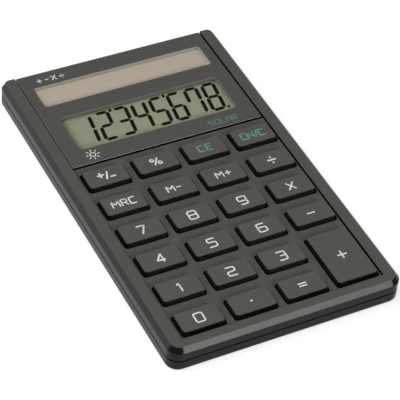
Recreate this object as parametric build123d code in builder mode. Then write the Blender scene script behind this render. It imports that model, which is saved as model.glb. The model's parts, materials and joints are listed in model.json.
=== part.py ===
from build123d import *
import os

# Pocket calculator with a solar cell, an eight-digit liquid crystal display and 23 keys, in millimetres.
# +X runs to the right of the keypad, +Y towards the display end, +Z out of the face.
# The origin is at the middle of the flat base.

# ---------------------------------------------------------------- driving dimensions
# Case
case_width = 68.0
case_length = 112.0
face_height = 7.8  # top of the two side rails
parting_height = 3.9  # where the two shells meet
wall = 1.6
floor_thickness = 1.2
front_corner = 3.6
rear_corner = 1.4
base_round = 1.2  # rounding of the lower shell's bottom edge
bevel_width = 1.1
bevel_height = 1.4
groove_height = 0.45  # shadow line round the parting
groove_depth = 0.6

# Face: two side rails with the keypad floor and the display panel sunk between them
rail_width = 4.4
front_strip = 3.6  # left standing in front of the recess
recess_depth = 0.5
face_thickness = 1.3  # of the keypad floor
slot_width = 0.28  # narrow slot where the keypad floor meets a rail
slot_depth = 0.7

# Display end
display_length = 40.3  # from the rear face to the display panel's front edge
panel_thickness = 1.0
panel_below_rails = 0.2
panel_side_gap = 0.4
panel_front_gap = 0.6
tape_thickness = 0.1
shelf_thickness = 1.5  # of the shelf that carries the panel and the solar cell
panel_edge_round = 0.15
solar_window_inset = 2.95  # from the panel's sides
solar_window_depth = 8.7
solar_window_rear = 5.7  # from the rear face
solar_window_corner = 0.8
lcd_window_inset = 4.55
lcd_window_depth = 14.45
lcd_window_rear = 19.9
lcd_window_corner = 1.5
tape_margin = 0.6  # from each window to the tape

# Solar cell, lens and display glass
cell_overlap = 0.7  # hidden edge of the solar cell under the panel, each side
cell_thickness = 0.7
cell_ledge = 1.8
part_clearance = 0.15  # round a part that drops into its seat
lens_thickness = 0.5
glass_overlap = 2.6  # hidden width of the display glass beyond its window, left and right
glass_rear_overlap = 1.4
glass_front_overlap = 4.4  # takes in the contact ledge
contact_ledge = 3.0
glass_thickness = 0.55
polariser_thickness = 0.15
polariser_inset = 0.4
rib_thickness = 0.8

# Circuit board
board_thickness = 1.0
board_clearance = 1.1  # from the floor of the lower shell, for the parts under the board
board_side_gap = 0.1  # from the side screw posts
board_end_gap = 1.2
strip_width = 2.0  # elastic contact strip under the glass
strip_inset = 1.0

# Keys
columns = 4
rows = 6
edge_margin = 0.6  # from the outer key holes to the rails
front_margin = 0.5  # from the last row of holes to the front of the recess
rear_margin = 3.1  # from the first row of holes to the display panel
column_gap = 2.05  # between key holes
row_gap = 3.5
hole_corner = 1.0
key_clearance = 0.3  # key to hole, each side
key_stand = 1.4  # of the key tops above the keypad floor
key_draft = 0.22  # the cap narrows by this on each side on its way up
key_corner = 0.8
key_edge_round = 0.22
key_wall = 1.0
key_roof = 1.1
key_travel = 0.8
flange_side = 0.5  # beyond the hole, left and right
flange_end = 0.25  # beyond the hole, front and rear
flange_thickness = 0.8
rest_gap = 0.05  # flange to the underside of the face, and plunger to dome
plunger_radius = 2.0

# Rubber mat
mat_sheet = 0.5
mat_edge_gap = 0.2  # from the board's edge
dome_base_radius = 3.2
dome_top_radius = 2.3
dome_wall = 0.5

# Screws
screw_clearance = 0.15
thread_clearance = 0.02
case_screw_radius = 0.8
case_head_radius = 1.3
case_head_height = 0.9
case_head_sink = 0.6  # from the base to the head
case_boss_radius = 1.4
case_post_radius = 1.9
case_screw_corner = 2.5  # from the inside of the walls to a rear screw
case_screw_side = 1.6  # from the inside of the walls to a side screw
board_screw_radius = 0.7
board_head_radius = 1.3
board_head_height = 0.8
board_boss_radius = 1.3
board_bite = 2.2
case_bite = 1.9
drive_slot = 0.35
drive_depth = 0.4
drive_reach = 1.2  # length of the cross over the head's radius
head_round_share = 1 / 3  # rounding of the head over its height

# Front hooks
hook_width = 8.0
hook_thickness = 0.8
hook_spacing = 36.0
hook_barb = 0.4
hook_barb_height = 0.5
hook_rise = 1.2  # of the hook above the parting
hook_gap = 0.1

# Button cell, size LR1130
cell_can_radius = 5.8
cell_can_height = 2.4
cell_cap_radius = 4.6
cell_height = 3.05
cell_side = 18.4  # from the inside of the right wall
cell_rear = 10.0  # from the rear face
cell_hole_gap = 0.3
cell_floor_gap = 0.05
contact_thickness = 0.2
contact_width = 3.0
contact_foot = 2.2
contact_gap = 0.02
cell_round = 0.3

# Small parts and leads
blob_radius = 4.6
blob_height = 0.9
chip_length = 2.0
chip_width = 1.25
chip_height = 0.8
chip_pitch = 4.0
lead_radius = 0.4
lead_inset = 2.2  # from the solar cell's ends
lead_shift = 2.4
lead_bend_share = 0.36  # bend radius over the lead's drop

# ---------------------------------------------------------------- derived places
half_width = case_width / 2
front_face = -case_length / 2
rear_face = case_length / 2
inner_half = half_width - wall
inner_front = front_face + wall
inner_rear = rear_face - wall
rear_screw_x = inner_half - case_screw_corner
rear_screw_y = inner_rear - case_screw_corner
side_screw_x = inner_half - case_screw_side
bevel_start = face_height - bevel_height

recess_half = half_width - rail_width
recess_front = front_face + front_strip
keypad_floor = face_height - recess_depth
keypad_underside = keypad_floor - face_thickness

panel_front = rear_face - display_length
panel_half = recess_half - panel_side_gap
panel_top = face_height - panel_below_rails
panel_bottom = panel_top - panel_thickness
shelf_top = panel_bottom - tape_thickness
shelf_bottom = shelf_top - shelf_thickness
shelf_front = panel_front - panel_front_gap - face_thickness / 2

solar_rear = rear_face - solar_window_rear
solar_front = solar_rear - solar_window_depth
solar_half = panel_half - solar_window_inset
lcd_rear = rear_face - lcd_window_rear
lcd_front = lcd_rear - lcd_window_depth
lcd_half = panel_half - lcd_window_inset

board_bottom = floor_thickness + board_clearance
board_top = board_bottom + board_thickness
board_half = side_screw_x - case_post_radius - board_side_gap
board_front = inner_front + board_end_gap
board_rear = inner_rear - board_end_gap / 2

lens_bottom = shelf_top - lens_thickness
glass_top = lens_bottom - polariser_thickness
glass_middle = glass_top - glass_thickness
glass_bottom = glass_middle - glass_thickness
glass_half = lcd_half + glass_overlap
glass_rear = lcd_rear + glass_rear_overlap
glass_front = lcd_front - glass_front_overlap
rear_glass_front = glass_front + contact_ledge
rib_bottom = board_top + rest_gap

key_top = keypad_floor + key_stand
flange_top = keypad_underside - rest_gap
flange_bottom = flange_top - flange_thickness
hole_width = (2 * (recess_half - edge_margin) - (columns - 1) * column_gap) / columns
keypad_rear = panel_front - rear_margin
keypad_front = recess_front + front_margin
hole_depth = (keypad_rear - keypad_front - (rows - 1) * row_gap) / rows
column_pitch = hole_width + column_gap
row_pitch = hole_depth + row_gap
dome_top = flange_bottom - rest_gap
mat_top = board_top + mat_sheet

button_x = inner_half - cell_side
button_y = rear_face - cell_rear
button_bottom = floor_thickness + cell_floor_gap

# Keys from the display end to the front, each row from left to right
key_rows = [
    ["key_sign", "key_percent", "key_ce", "key_on_c"],
    ["key_mrc", "key_m_minus", "key_m_plus", "key_divide"],
    ["key_7", "key_8", "key_9", "key_multiply"],
    ["key_4", "key_5", "key_6", "key_minus"],
    ["key_1", "key_2", "key_3", "key_plus"],
    ["key_0", "key_point", "key_equals"],
]
tall_key = "key_plus"  # spans the last two rows


def column_centre(column):
    """X of a column's centre line."""
    return (column - (columns - 1) / 2) * column_pitch


def row_centre(row):
    """Y of a row's centre line."""
    return keypad_rear - hole_depth / 2 - row * row_pitch


def key_places():
    """Name, centre and hole depth of every key."""
    places = []
    for row, names in enumerate(key_rows):
        for column, name in enumerate(names):
            depth = hole_depth
            y = row_centre(row)
            if name == tall_key:
                depth = 2 * hole_depth + row_gap
                y = row_centre(row) - row_pitch / 2
            places.append((name, column_centre(column), y, depth))
    return places


def gap_centre(row):
    """Y of the middle of the web in front of a row of holes."""
    return row_centre(row) - row_pitch / 2


keys = key_places()
board_screw_places = [
    (column_centre(0.5), gap_centre(0)),
    (column_centre(2.5), gap_centre(0)),
    (column_centre(0.5), gap_centre(2)),
    (column_centre(2.5), gap_centre(2)),
    (column_centre(1.5), gap_centre(4)),
]
side_screw_y = gap_centre(3)
rear_screw_places = [(-rear_screw_x, rear_screw_y), (rear_screw_x, rear_screw_y)]
side_screw_places = [(-side_screw_x, side_screw_y), (side_screw_x, side_screw_y)]
case_screw_places = rear_screw_places + side_screw_places
hook_places = [-hook_spacing / 2, hook_spacing / 2]


# ---------------------------------------------------------------- shared shapes
def case_outline(inset=0.0, rear_inset=0.0):
    """Rounded outline of the case on the sketch's plane, drawn in from its sides and front, and from its rear."""
    front = front_face + inset
    rear = rear_face - rear_inset
    with Locations((0, (front + rear) / 2)):
        Rectangle(2 * (half_width - inset), rear - front)
    fillet(vertices().group_by(Axis.Y)[0], front_corner - min(inset, front_corner - 1))
    fillet(vertices().group_by(Axis.Y)[-1], rear_corner - min(rear_inset, rear_corner - 1))


def span(half, front, rear, corner=0.0):
    """Rectangle symmetric about the centre line, between two Y values, with optional round corners."""
    with Locations((0, (front + rear) / 2)):
        if corner:
            RectangleRounded(2 * half, rear - front, corner)
        else:
            Rectangle(2 * half, rear - front)


def save(part, name):
    """Labels a finished piece and writes it as its own file."""
    part.label = name
    export_step(part, f"parts/{name}.step")


os.makedirs("parts", exist_ok=True)

# ---------------------------------------------------------------- upper case
with BuildPart() as upper_case:
    with BuildSketch(Plane.XY.offset(parting_height)):
        case_outline()
    extrude(amount=bevel_start - parting_height)
    with BuildSketch(Plane.XY.offset(bevel_start)):
        case_outline()
    with BuildSketch(Plane.XY.offset(face_height)):
        case_outline(bevel_width)
    loft(ruled=True)
    # Hollow: shallow under the display shelf, deeper under the keypad
    with BuildSketch(Plane.XY.offset(parting_height)):
        case_outline(wall, wall)
    extrude(amount=shelf_bottom - parting_height, mode=Mode.SUBTRACT)
    with BuildSketch(Plane.XY.offset(shelf_bottom)):
        case_outline(wall, rear_face - shelf_front)
    extrude(amount=keypad_underside - shelf_bottom, mode=Mode.SUBTRACT)
    # Recess between the rails, open at the rear face
    with BuildSketch(Plane.XY.offset(keypad_floor)):
        span(recess_half, recess_front, rear_face)
    extrude(amount=recess_depth, mode=Mode.SUBTRACT)
    with BuildSketch(Plane.XY.offset(keypad_floor)):
        for side in (-1, 1):
            with Locations((side * (recess_half - slot_width / 2), (recess_front + panel_front) / 2)):
                Rectangle(slot_width, panel_front - recess_front)
    extrude(amount=-slot_depth, mode=Mode.SUBTRACT)
    # Pocket for the display panel
    with BuildSketch(Plane.XY.offset(keypad_floor)):
        span(recess_half, panel_front - panel_front_gap, rear_face)
    extrude(amount=shelf_top - keypad_floor, mode=Mode.SUBTRACT)
    # Seat and opening for the solar cell, and the opening that the display glass fills
    with BuildSketch(Plane.XY.offset(shelf_top)):
        seat = cell_overlap + part_clearance
        span(solar_half + seat, solar_front - seat, solar_rear + seat)
    extrude(amount=-cell_thickness, mode=Mode.SUBTRACT)
    with BuildSketch(Plane.XY.offset(shelf_top)):
        opening = cell_overlap - cell_ledge
        span(solar_half + opening, solar_front - opening, solar_rear + opening)
    extrude(amount=-shelf_thickness, mode=Mode.SUBTRACT)
    with BuildSketch(Plane.XY.offset(shelf_top)):
        seat = part_clearance
        span(glass_half + seat, glass_front - seat, glass_rear + seat)
    extrude(amount=-shelf_thickness, mode=Mode.SUBTRACT)
    # Ribs that locate the display glass
    with BuildSketch(Plane.XY.offset(rib_bottom)):
        seat = part_clearance + rib_thickness
        span(glass_half + seat, glass_front - seat, glass_rear + seat)
        with BuildSketch(mode=Mode.SUBTRACT):
            seat = part_clearance
            span(glass_half + seat, glass_front - seat, glass_rear + seat)
    extrude(amount=shelf_bottom - rib_bottom)
    # Key holes
    with BuildSketch(Plane.XY.offset(keypad_underside)):
        for name, x, y, depth in keys:
            with Locations((x, y)):
                RectangleRounded(hole_width, depth, hole_corner)
    extrude(amount=face_thickness, mode=Mode.SUBTRACT)
    # Screw bosses
    with BuildSketch(Plane.XY.offset(board_top)):
        with Locations(*board_screw_places):
            Circle(board_boss_radius)
    extrude(amount=keypad_underside - board_top)
    with BuildSketch(Plane.XY.offset(board_top)):
        with Locations(*board_screw_places):
            Circle(board_screw_radius + thread_clearance)
    extrude(amount=board_bite, mode=Mode.SUBTRACT)
    with BuildSketch(Plane.XY.offset(board_top)):
        with Locations(*rear_screw_places):
            Circle(case_boss_radius)
    extrude(amount=shelf_bottom - board_top)
    with BuildSketch(Plane.XY.offset(board_top)):
        with Locations(*side_screw_places):
            Circle(case_boss_radius)
    extrude(amount=keypad_underside - board_top)
    with BuildSketch(Plane.XY.offset(board_top)):
        with Locations(*case_screw_places):
            Circle(case_screw_radius + thread_clearance)
    extrude(amount=case_bite, mode=Mode.SUBTRACT)
    # Catches for the front hooks, cut into the inside of the front wall
    with BuildSketch(Plane.XY.offset(parting_height + hook_rise - hook_barb_height - hook_gap)):
        for x in hook_places:
            with Locations((x, inner_front)):
                Rectangle(hook_width + 2 * hook_gap, 2 * (hook_barb + hook_gap))
    extrude(amount=hook_barb_height + 2 * hook_gap, mode=Mode.SUBTRACT)
save(upper_case.part, "upper_case")

# ---------------------------------------------------------------- lower case
with BuildPart() as lower_case:
    with BuildSketch():
        case_outline()
    extrude(amount=parting_height)
    fillet(lower_case.faces().sort_by(Axis.Z)[0].edges(), base_round)
    with BuildSketch(Plane.XY.offset(floor_thickness)):
        case_outline(wall, wall)
    extrude(amount=parting_height - floor_thickness, mode=Mode.SUBTRACT)
    # Shadow line round the top of the wall
    with BuildSketch(Plane.XY.offset(parting_height - groove_height)):
        case_outline()
        with BuildSketch(mode=Mode.SUBTRACT):
            case_outline(groove_depth, groove_depth)
    extrude(amount=groove_height, mode=Mode.SUBTRACT)
    # Posts, screw holes and sunk seats for the heads
    with BuildSketch(Plane.XY.offset(floor_thickness)):
        with Locations(*case_screw_places):
            Circle(case_post_radius)
    extrude(amount=board_top - rest_gap - floor_thickness)
    with BuildSketch():
        with Locations(*case_screw_places):
            Circle(case_screw_radius + screw_clearance)
    extrude(amount=board_top, mode=Mode.SUBTRACT)
    with BuildSketch():
        with Locations(*case_screw_places):
            Circle(case_head_radius + screw_clearance)
    extrude(amount=case_head_sink + case_head_height, mode=Mode.SUBTRACT)
    # Hooks along the front
    hook_outer = inner_front + hook_gap
    with BuildSketch(Plane.XY.offset(floor_thickness)):
        for x in hook_places:
            with Locations((x, hook_outer + hook_thickness / 2)):
                Rectangle(hook_width, hook_thickness)
    extrude(amount=parting_height + hook_rise - floor_thickness)
    with BuildSketch(Plane.XY.offset(parting_height + hook_rise - hook_barb_height)):
        for x in hook_places:
            with Locations((x, hook_outer + (hook_thickness - hook_barb) / 2)):
                Rectangle(hook_width, hook_thickness + hook_barb)
    extrude(amount=hook_barb_height)
save(lower_case.part, "lower_case")

# ---------------------------------------------------------------- display end
with BuildPart() as display_panel:
    with BuildSketch(Plane.XY.offset(panel_bottom)):
        span(panel_half, panel_front, rear_face)
        with BuildSketch(mode=Mode.SUBTRACT):
            span(solar_half, solar_front, solar_rear, solar_window_corner)
            span(lcd_half, lcd_front, lcd_rear, lcd_window_corner)
    extrude(amount=panel_thickness)
    fillet(display_panel.faces().sort_by(Axis.Z)[-1].outer_wire().edges(), panel_edge_round)
save(display_panel.part, "display_panel")

with BuildPart() as panel_tape:
    with BuildSketch(Plane.XY.offset(shelf_top)):
        span(panel_half - tape_margin, panel_front + tape_margin, rear_face - tape_margin)
        with BuildSketch(mode=Mode.SUBTRACT):
            span(solar_half + tape_margin, solar_front - tape_margin, solar_rear + tape_margin)
            span(lcd_half + tape_margin, lcd_front - tape_margin, lcd_rear + tape_margin)
    extrude(amount=tape_thickness)
save(panel_tape.part, "panel_tape")

with BuildPart() as solar_cell:
    with BuildSketch(Plane.XY.offset(shelf_top - cell_thickness)):
        span(solar_half + cell_overlap, solar_front - cell_overlap, solar_rear + cell_overlap)
    extrude(amount=cell_thickness)
save(solar_cell.part, "solar_cell")

with BuildPart() as display_lens:
    with BuildSketch(Plane.XY.offset(lens_bottom)):
        span(glass_half, glass_front, glass_rear)
    extrude(amount=lens_thickness)
save(display_lens.part, "display_lens")

with BuildPart() as lcd_front_polariser:
    with BuildSketch(Plane.XY.offset(glass_top)):
        span(glass_half - polariser_inset, rear_glass_front + polariser_inset, glass_rear - polariser_inset)
    extrude(amount=polariser_thickness)
save(lcd_front_polariser.part, "lcd_front_polariser")

with BuildPart() as lcd_front_glass:
    with BuildSketch(Plane.XY.offset(glass_middle)):
        span(glass_half, glass_front, glass_rear)
    extrude(amount=glass_thickness)
save(lcd_front_glass.part, "lcd_front_glass")

with BuildPart() as lcd_rear_glass:
    with BuildSketch(Plane.XY.offset(glass_bottom)):
        span(glass_half, rear_glass_front, glass_rear)
    extrude(amount=glass_thickness)
save(lcd_rear_glass.part, "lcd_rear_glass")

with BuildPart() as lcd_reflector:
    with BuildSketch(Plane.XY.offset(glass_bottom - polariser_thickness)):
        span(glass_half - polariser_inset, rear_glass_front + polariser_inset, glass_rear - polariser_inset)
    extrude(amount=polariser_thickness)
save(lcd_reflector.part, "lcd_reflector")

with BuildPart() as lcd_contact_strip:
    with BuildSketch(Plane.XY.offset(board_top)):
        strip_front = glass_front + (contact_ledge - strip_width) / 2
        span(glass_half - strip_inset, strip_front, strip_front + strip_width)
    extrude(amount=glass_middle - board_top)
save(lcd_contact_strip.part, "lcd_contact_strip")

# ---------------------------------------------------------------- circuit board and what it carries
with BuildPart() as circuit_board:
    with BuildSketch(Plane.XY.offset(board_bottom)):
        span(board_half, board_front, board_rear)
        with Locations(*rear_screw_places):
            notch = 2 * (case_post_radius + screw_clearance)
            Rectangle(notch, 2 * notch, mode=Mode.SUBTRACT)
        with Locations((button_x, button_y)):
            Circle(cell_can_radius + cell_hole_gap, mode=Mode.SUBTRACT)
        with Locations(*board_screw_places):
            Circle(board_screw_radius + screw_clearance, mode=Mode.SUBTRACT)
    extrude(amount=board_thickness)
save(circuit_board.part, "circuit_board")

with BuildPart() as key_mat:
    with BuildSketch(Plane.XY.offset(board_top)):
        mat_rear = shelf_front - mat_edge_gap
        span(board_half - mat_edge_gap, board_front + mat_edge_gap, mat_rear)
        with Locations(*board_screw_places):
            Circle(board_boss_radius + screw_clearance, mode=Mode.SUBTRACT)
    extrude(amount=mat_sheet)
    key_points = [(x, y, board_top) for name, x, y, depth in keys]
    up = (Align.CENTER, Align.CENTER, Align.MIN)
    with Locations(*key_points):
        Cone(dome_base_radius, dome_top_radius, dome_top - board_top, align=up)
    with Locations(*key_points):
        hollow = key_travel + rest_gap
        Cone(dome_base_radius - dome_wall, dome_top_radius - dome_wall, hollow, align=up, mode=Mode.SUBTRACT)
save(key_mat.part, "key_mat")

with BuildPart() as chip_blob:
    blob_x = -button_x
    blob_y = (glass_front + glass_rear) / 2
    blob_sphere = (blob_radius**2 + blob_height**2) / (2 * blob_height)
    with BuildSketch(Plane(origin=(blob_x, blob_y, board_bottom), x_dir=(1, 0, 0), z_dir=(0, -1, 0))):
        with BuildLine():
            dome = RadiusArc((0, -blob_height), (blob_radius, 0), -blob_sphere)
            Polyline(dome @ 1, (0, 0), dome @ 0)
        make_face()
    revolve(axis=Axis((blob_x, blob_y, 0), (0, 0, 1)))
save(chip_blob.part, "chip_blob")

with BuildPart() as chip_capacitors:
    with BuildSketch(Plane.XY.offset(board_bottom - chip_height)):
        with Locations((0, blob_y)):
            with GridLocations(chip_pitch, chip_pitch, 1, 3):
                Rectangle(chip_length, chip_width)
    extrude(amount=chip_height)
save(chip_capacitors.part, "chip_capacitors")

with BuildPart() as button_cell:
    with BuildSketch(Plane(origin=(button_x, button_y, button_bottom))):
        Circle(cell_can_radius)
    extrude(amount=cell_can_height)
    fillet(button_cell.edges().group_by(Axis.Z)[0], cell_round)
    fillet(button_cell.edges().group_by(Axis.Z)[-1], cell_round)
    with BuildSketch(Plane(origin=(button_x, button_y, button_bottom + cell_can_height))):
        Circle(cell_cap_radius)
    extrude(amount=cell_height - cell_can_height)
    fillet(button_cell.edges().group_by(Axis.Z)[-1], cell_round)
save(button_cell.part, "button_cell")

with BuildPart() as positive_contact:
    # A leaf bent round the side of the can, with a foot on the board
    leaf_inner = cell_can_radius + contact_gap
    leaf_outer = leaf_inner + contact_thickness
    with BuildSketch(Plane(origin=(button_x, button_y, board_bottom))):
        Circle(leaf_outer)
        Circle(leaf_inner, mode=Mode.SUBTRACT)
        with Locations((-leaf_outer, 0)):
            Rectangle(2 * leaf_outer, contact_width, mode=Mode.INTERSECT)
    extrude(amount=board_thickness + contact_thickness)
    with BuildSketch(Plane(origin=(button_x, button_y, board_top))):
        with Locations((-leaf_outer - contact_foot / 2 + contact_thickness / 2, 0)):
            Rectangle(contact_foot, contact_width)
    extrude(amount=contact_thickness)
save(positive_contact.part, "positive_contact")

with BuildPart() as negative_contact:
    # A strip that stands on the board and reaches over the cell to its cap
    reach = cell_can_radius + cell_hole_gap + contact_foot
    strip_bottom = button_bottom + cell_height + contact_gap
    with BuildSketch(Plane(origin=(button_x, button_y, board_top))):
        with Locations((reach - contact_foot / 2, 0)):
            Rectangle(contact_foot, contact_width)
    extrude(amount=contact_thickness)
    with BuildSketch(Plane(origin=(button_x, button_y, board_top))):
        with Locations((reach - contact_thickness / 2, 0)):
            Rectangle(contact_thickness, contact_width)
    extrude(amount=strip_bottom + contact_thickness - board_top)
    with BuildSketch(Plane(origin=(button_x, button_y, strip_bottom))):
        with Locations((reach / 2, 0)):
            Rectangle(reach, contact_width)
    extrude(amount=contact_thickness)
save(negative_contact.part, "negative_contact")


def solar_lead(side):
    """A short insulated wire from the back of the solar cell down to the board."""
    start_x = side * (solar_half - lead_inset)
    lead_y = (solar_front + solar_rear) / 2
    top = shelf_top - cell_thickness
    drop = top - board_top
    shoulder = board_top + drop / 2
    end_x = start_x + side * lead_shift
    with BuildPart() as lead:
        with BuildLine():
            FilletPolyline(
                (start_x, lead_y, top),
                (start_x, lead_y, shoulder),
                (end_x, lead_y, shoulder),
                (end_x, lead_y, board_top),
                radius=lead_bend_share * drop,
            )
        with BuildSketch(Plane(origin=(start_x, lead_y, top), z_dir=(0, 0, -1))):
            Circle(lead_radius)
        sweep()
    return lead.part


save(solar_lead(-1), "solar_lead_positive")
save(solar_lead(1), "solar_lead_negative")


# ---------------------------------------------------------------- screws
def screw_group(places, seat, head_radius, head_height, shank_radius, shank_length):
    """Pan-head screws that point up from a seat, with a cross recess in each head."""
    with BuildPart() as screws:
        with BuildSketch(Plane.XY.offset(seat - head_height)):
            with Locations(*places):
                Circle(head_radius)
        extrude(amount=head_height)
        fillet(screws.edges().group_by(Axis.Z)[0], head_round_share * head_height)
        with BuildSketch(Plane.XY.offset(seat)):
            with Locations(*places):
                Circle(shank_radius)
        extrude(amount=shank_length)
        with BuildSketch(Plane.XY.offset(seat - head_height)):
            with Locations(*places):
                Rectangle(drive_reach * head_radius, drive_slot)
                Rectangle(drive_slot, drive_reach * head_radius)
        extrude(amount=drive_depth, mode=Mode.SUBTRACT)
    return screws.part


case_seat = case_head_sink + case_head_height
case_shank = board_top + case_bite - case_seat - rest_gap
save(
    screw_group(
        case_screw_places, case_seat, case_head_radius, case_head_height, case_screw_radius, case_shank
    ),
    "case_screws",
)
board_shank = board_thickness + board_bite - rest_gap
save(
    screw_group(
        board_screw_places,
        board_bottom,
        board_head_radius,
        board_head_height,
        board_screw_radius,
        board_shank,
    ),
    "board_screws",
)

# ---------------------------------------------------------------- keys
for name, x, y, depth in keys:
    stem_width = hole_width - 2 * key_clearance
    stem_depth = depth - 2 * key_clearance
    with BuildPart() as key:
        with BuildSketch(Plane(origin=(x, y, flange_bottom))):
            RectangleRounded(hole_width + 2 * flange_side, depth + 2 * flange_end, hole_corner)
        extrude(amount=flange_thickness)
        with BuildSketch(Plane(origin=(x, y, flange_bottom))):
            RectangleRounded(stem_width, stem_depth, key_corner)
        extrude(amount=keypad_floor - flange_bottom)
        with BuildSketch(Plane(origin=(x, y, keypad_floor))):
            RectangleRounded(stem_width, stem_depth, key_corner)
        with BuildSketch(Plane(origin=(x, y, key_top))):
            RectangleRounded(stem_width - 2 * key_draft, stem_depth - 2 * key_draft, key_corner)
        loft(ruled=True)
        fillet(key.faces().sort_by(Axis.Z)[-1].edges(), key_edge_round)
        with BuildSketch(Plane(origin=(x, y, flange_bottom))):
            Rectangle(stem_width - 2 * key_wall, stem_depth - 2 * key_wall)
            Circle(plunger_radius, mode=Mode.SUBTRACT)
        extrude(amount=key_top - key_roof - flange_bottom, mode=Mode.SUBTRACT)
    save(key.part, name)
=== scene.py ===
import json
import logging
import math
from collections.abc import Iterable, Sequence
from dataclasses import dataclass, field
from enum import Enum

import bmesh
import bpy
from mathutils import Matrix, Vector


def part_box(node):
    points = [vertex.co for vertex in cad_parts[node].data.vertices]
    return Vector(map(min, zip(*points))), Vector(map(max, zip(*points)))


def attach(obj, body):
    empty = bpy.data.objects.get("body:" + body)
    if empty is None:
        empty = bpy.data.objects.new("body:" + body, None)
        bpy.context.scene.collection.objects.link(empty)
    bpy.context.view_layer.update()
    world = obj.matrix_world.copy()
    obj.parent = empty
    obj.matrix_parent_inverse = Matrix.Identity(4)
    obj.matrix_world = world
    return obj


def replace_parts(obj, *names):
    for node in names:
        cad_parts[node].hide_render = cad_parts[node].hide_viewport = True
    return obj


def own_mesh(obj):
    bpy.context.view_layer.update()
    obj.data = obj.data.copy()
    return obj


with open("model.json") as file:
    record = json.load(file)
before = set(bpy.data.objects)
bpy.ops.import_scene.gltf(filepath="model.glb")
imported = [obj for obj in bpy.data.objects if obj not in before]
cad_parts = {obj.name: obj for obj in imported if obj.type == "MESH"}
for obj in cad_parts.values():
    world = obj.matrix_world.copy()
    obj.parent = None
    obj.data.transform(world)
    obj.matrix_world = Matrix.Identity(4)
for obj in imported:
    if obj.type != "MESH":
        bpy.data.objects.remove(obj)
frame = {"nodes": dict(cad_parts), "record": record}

MM = 0.001
CASE_BODY = "case"
LOG = logging.getLogger("calculator")
BLACK = (0.0, 0.0, 0.0)
TONE_SPAN = (0.3, 0.7)  # values that the grain's tone mostly takes

Colour = tuple[float, float, float]
Point = tuple[float, float]
Stroke = tuple[Point, ...]
Socket = bpy.types.NodeSocket
Piece = bpy.types.Object


class Ink(Enum):
    """Inks that the signs on the calculator are printed in."""

    LIGHT = "light_ink"
    GREEN = "green_ink"
    DISPLAY = "display_ink"


def placed(name: str, data: bpy.types.ID) -> Piece:
    """A new object in the scene.

    Args:
        name: Name of the object.
        data: Its mesh, light or camera.

    Returns:
        The object, at the origin.
    """
    thing = bpy.data.objects.new(name, data)
    bpy.context.scene.collection.objects.link(thing)
    return thing


def towards(azimuth: float, elevation: float) -> Vector:
    """Direction from the object to a place round it.

    Args:
        azimuth: Degrees; 0 is in front of the keypad and 90 to its right.
        elevation: Degrees over the floor.

    Returns:
        A unit vector.
    """
    a, e = math.radians(azimuth), math.radians(elevation)
    return Vector((math.sin(a) * math.cos(e), -math.cos(a) * math.cos(e), math.sin(e)))


# ------------------------------------------------------------------ shader building


class Wiring:
    """Adds common nodes to one shader tree."""

    tree: bpy.types.NodeTree

    def math(self, operation: str, *values: object, clamp: bool = False) -> Socket:
        """Adds a math node.

        Args:
            operation: Blender's name of the operation.
            values: Sockets or numbers that feed it.
            clamp: Keeps the result between 0 and 1.

        Returns:
            The result's socket.
        """
        node = self.tree.nodes.new("ShaderNodeMath")
        node.operation = operation
        node.use_clamp = clamp
        for slot, value in zip(node.inputs, values):
            feed(self.tree, value, slot)
        return node.outputs[0]

    def range(
        self, value: object, low: float, high: float, first: float = 0.0, last: float = 1.0
    ) -> Socket:
        """Maps one range to another, with soft ends.

        Args:
            value: The value.
            low: Where it gives the first result.
            high: Where it gives the last result.
            first: First result.
            last: Last result.

        Returns:
            The mapped value.
        """
        node = self.tree.nodes.new("ShaderNodeMapRange")
        node.interpolation_type = "SMOOTHSTEP"
        feed(self.tree, value, node.inputs["Value"])
        labels = ("From Min", "From Max", "To Min", "To Max")
        for label, number in zip(labels, (low, high, first, last)):
            node.inputs[label].default_value = number
        return node.outputs["Result"]

    def split(self, vector: Socket, letter: str) -> Socket:
        """Takes one part of a vector.

        Args:
            vector: The vector.
            letter: X, Y or Z.

        Returns:
            The part.
        """
        node = self.tree.nodes.new("ShaderNodeSeparateXYZ")
        self.tree.links.new(vector, node.inputs[0])
        return node.outputs[letter]


@dataclass
class ShaderGroup(Wiring):
    """A shader node group under construction.

    Args:
        name: Name of the group in the file.
        inputs: Input socket names with their default values; a None default is a vector.
        outputs: Output socket names, all of them plain values.
    """

    name: str
    inputs: dict[str, float | None]
    outputs: tuple[str, ...]
    tree: bpy.types.NodeTree = field(init=False)
    entry: bpy.types.Node = field(init=False)
    leave: bpy.types.Node = field(init=False)

    def __post_init__(self) -> None:
        """Makes the group and its sockets."""
        self.tree = bpy.data.node_groups.new(self.name, "ShaderNodeTree")
        for label, value in self.inputs.items():
            kind = "NodeSocketVector" if value is None else "NodeSocketFloat"
            socket = self.tree.interface.new_socket(label, in_out="INPUT", socket_type=kind)
            if value is not None:
                socket.default_value = value
        for label in self.outputs:
            self.tree.interface.new_socket(label, in_out="OUTPUT", socket_type="NodeSocketFloat")
        self.entry = self.tree.nodes.new("NodeGroupInput")
        self.leave = self.tree.nodes.new("NodeGroupOutput")

    def noise(
        self, vector: object, scale: object, detail: float, roughness: float
    ) -> Socket:
        """Adds a noise texture.

        Args:
            vector: Position that it reads.
            scale: Its scale.
            detail: Number of finer layers.
            roughness: Share of the finer layers.

        Returns:
            Its value, centred on one half.
        """
        node = self.tree.nodes.new("ShaderNodeTexNoise")
        node.inputs["Detail"].default_value = detail
        node.inputs["Roughness"].default_value = roughness
        feed(self.tree, vector, node.inputs["Vector"])
        feed(self.tree, scale, node.inputs["Scale"])
        return node.outputs["Fac"]

    def put(self, label: str, value: Socket) -> None:
        """Sends a value out of the group."""
        self.tree.links.new(value, self.leave.inputs[label])


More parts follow.
